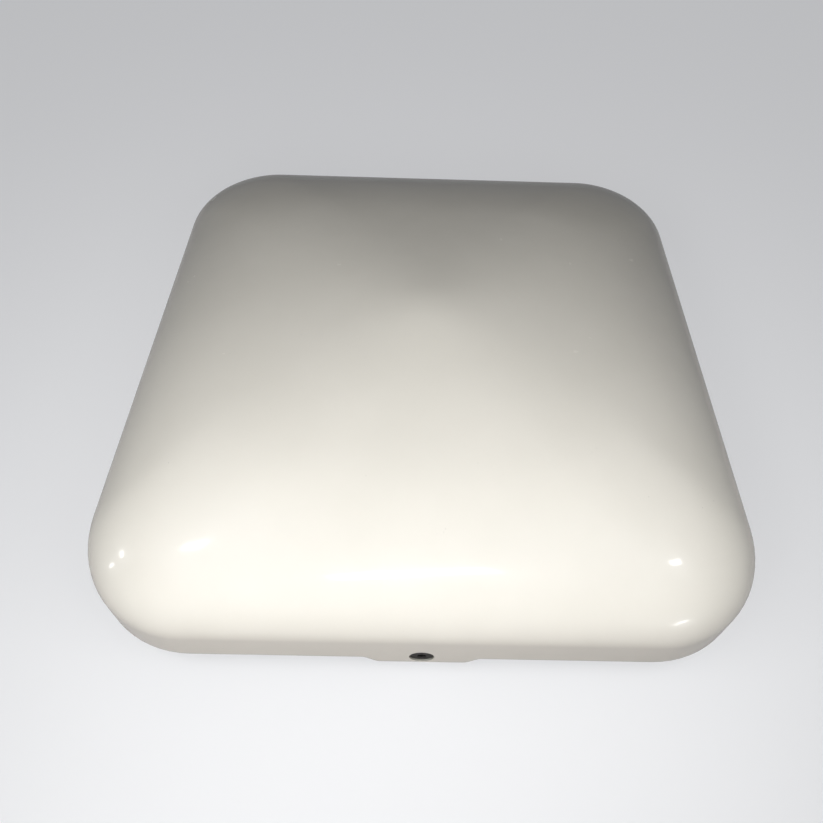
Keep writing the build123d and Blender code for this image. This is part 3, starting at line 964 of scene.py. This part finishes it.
# Small lamps that mirror in the gloss: name, the place on the cap where the photograph shows their
# reflection, azimuth and elevation from there, distance, width, height, watts and tilt
MIRRORED_LAMPS = [
    ("strip_lamp", (0.000, -0.1499, 0.0718), -0.3, 55.5, 1.2, 0.38, 0.07, 0.85, 22),
    ("left_lamp", (-0.1439, -0.1417, 0.0677), -82, 25, 1.5, 0.10, 0.09, 0.40, 0),
    ("left_low_lamp", (-0.1502, -0.1442, 0.0638), -79, 12.6, 1.5, 0.04, 0.18, 0.32, 0),
    ("left_high_lamp", (-0.1072, -0.1399, 0.0761), -60, 59.5, 1.2, 0.20, 0.08, 0.45, 40),
    ("right_lamp", (0.1175, -0.1417, 0.0744), 69, 50, 1.5, 0.08, 0.16, 0.64, 45),
    ("right_low_lamp", (0.1222, -0.1647, 0.0605), 32, 11, 1.5, 0.34, 0.07, 0.95, 15),
]


def direction(azimuth, elevation):
    """The unit direction towards an azimuth and elevation, from the front."""
    a, e = math.radians(azimuth), math.radians(elevation)
    return Vector((math.sin(a) * math.cos(e), -math.cos(a) * math.cos(e), math.sin(e)))


def add_lamp(name, target, back, distance, width, height, power, tilt=0, mirrored=False):
    """A rectangular lamp at a distance from its target, facing it. If it is mirrored, it lights
    only the gloss, and if not, only the rest."""
    lamp = bpy.data.lights.new(name, "AREA")
    lamp.shape = "RECTANGLE"
    lamp.size = width
    lamp.size_y = height
    lamp.energy = power
    piece = bpy.data.objects.new(name, lamp)
    piece.location = target + back * distance
    turned = back.to_track_quat("Z", "Y") @ Quaternion((0, 0, 1), math.radians(tilt))
    piece.rotation_euler = turned.to_euler()
    piece.visible_glossy = mirrored
    piece.visible_diffuse = not mirrored
    bpy.context.scene.collection.objects.link(piece)


rim_centre = Vector((0, 0, rim_height))
for name, azimuth, elevation, distance, power in SOFT_BOXES:
    towards = direction(azimuth, elevation)
    add_lamp(name, rim_centre, towards, distance, box_width, box_height, power)
for name, place, azimuth, elevation, distance, width, height, power, tilt in MIRRORED_LAMPS:
    towards = direction(azimuth, elevation)
    add_lamp(name, Vector(place), towards, distance, width, height, power, tilt, mirrored=True)
add_lamp("under_box", Vector((0, 0, 0)), Vector((0, 0, -1)),
         distance=0.5, width=0.3, height=0.3, power=0.6)

# The photograph's camera, as fitted to the cap's outline
camera_azimuth = -1.31
camera_elevation = 52.96
camera_roll = math.radians(2.44)
camera_distance = 0.4295
focal_pixels = 650.0
centre_x = 425.49
centre_y = 379.0
frame_pixels = 823.0
sensor_width = 36  # in millimetres, as the focal length
nearest_seen = 0.01

back = direction(camera_azimuth, camera_elevation)
right = Vector((0, 0, 1)).cross(back).normalized()
up = back.cross(right)
right_rolled = right * math.cos(camera_roll) + up * math.sin(camera_roll)
up_rolled = up * math.cos(camera_roll) - right * math.sin(camera_roll)
camera_data = bpy.data.cameras.new("camera")
camera_data.sensor_width = sensor_width
camera_data.lens = focal_pixels / frame_pixels * sensor_width
camera_data.shift_x = 0.5 - centre_x / frame_pixels
camera_data.shift_y = centre_y / frame_pixels - 0.5
camera_data.clip_start = nearest_seen
camera = bpy.data.objects.new("camera", camera_data)
bpy.context.scene.collection.objects.link(camera)
axes = Matrix((right_rolled, up_rolled, back)).transposed().to_4x4()
camera.matrix_world = Matrix.Translation(rim_centre + back * camera_distance) @ axes
bpy.context.scene.camera = camera

bpy.context.scene.view_settings.view_transform = "Standard"
